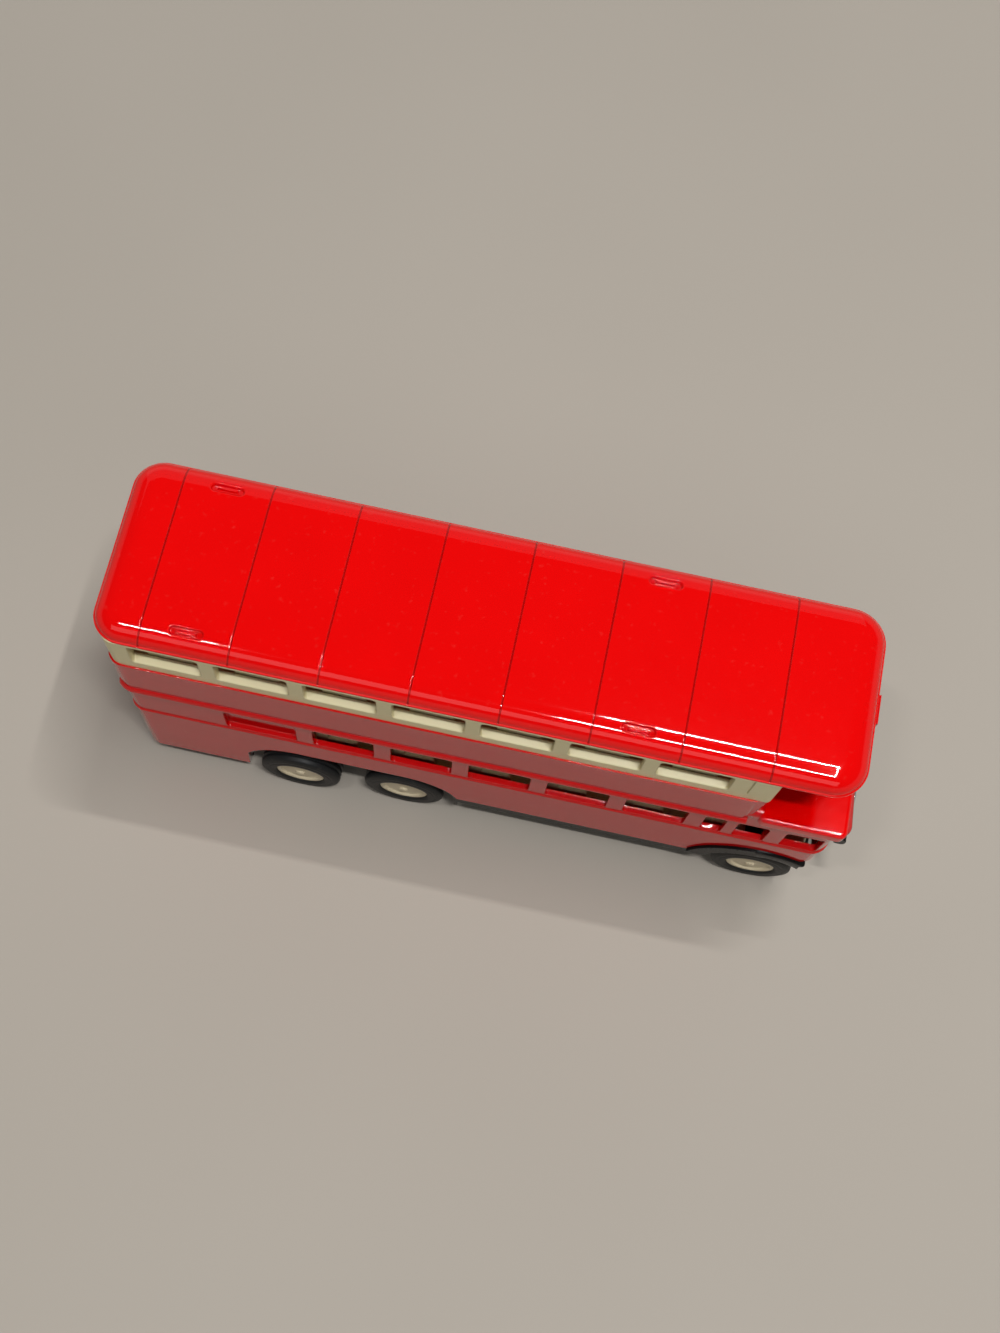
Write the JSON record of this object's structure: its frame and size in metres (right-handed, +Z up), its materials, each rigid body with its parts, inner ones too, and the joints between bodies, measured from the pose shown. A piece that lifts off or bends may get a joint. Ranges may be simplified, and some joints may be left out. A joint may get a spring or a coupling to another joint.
{
  "type": "toy bus",
  "caption": "Double-deck toy bus with a half cab, a cream upper window band and wheels that roll on tandem rear axles and a single front axle.",
  "frame": {"origin": "on the ground, in the middle of the bounding box's length and width", "axes": "+X to the front of the bus, +Y to the side with the doorway, +Z up"},
  "size_m": [0.125, 0.032, 0.0594],
  "materials": {
    "red_enamel": "glossy red enamel on die-cast metal",
    "cream_plastic": "satin cream moulded plastic",
    "black_plastic": "satin black",
    "chrome": "bright plated plastic",
    "steel": "plain drawn steel",
    "hub_plastic": "satin beige moulded plastic",
    "tyre": "matt black rubber"
  },
  "bodies": {
    "shell": {"lower_body": "red_enamel", "roof": "red_enamel", "upper_front": "red_enamel", "upper_window_band": "cream_plastic", "upper_seat_tray": "cream_plastic", "lower_seat_tray": "cream_plastic", "cab_interior": "cream_plastic", "chassis_base": "black_plastic", "steering_wheel": "black_plastic", "radiator_core": "black_plastic", "radiator_shell": "chrome", "headlamp_left": "chrome", "headlamp_right": "chrome", "base_screws": "steel", "roof_screws": "steel"},
    "rear_wheels": {"rear_axle": "steel", "rear_left_hub": "hub_plastic", "rear_right_hub": "hub_plastic", "rear_left_tyre": "tyre", "rear_right_tyre": "tyre"},
    "middle_wheels": {"middle_axle": "steel", "middle_left_hub": "hub_plastic", "middle_right_hub": "hub_plastic", "middle_left_tyre": "tyre", "middle_right_tyre": "tyre"},
    "front_wheels": {"front_axle": "steel", "front_left_hub": "hub_plastic", "front_right_hub": "hub_plastic", "front_left_tyre": "tyre", "front_right_tyre": "tyre"}
  },
  "joints": [
    {"name": "rear_axle_spin", "type": "hinge", "parent": "shell", "child": "rear_wheels", "pos_m": [-0.0332, 0, 0.00705], "axis": [0, 1, 0], "continuous": true},
    {"name": "middle_axle_spin", "type": "hinge", "parent": "shell", "child": "middle_wheels", "pos_m": [-0.0149, 0, 0.00705], "axis": [0, 1, 0], "continuous": true},
    {"name": "front_axle_spin", "type": "hinge", "parent": "shell", "child": "front_wheels", "pos_m": [0.0471, 0, 0.00705], "axis": [0, 1, 0], "continuous": true}
  ]
}
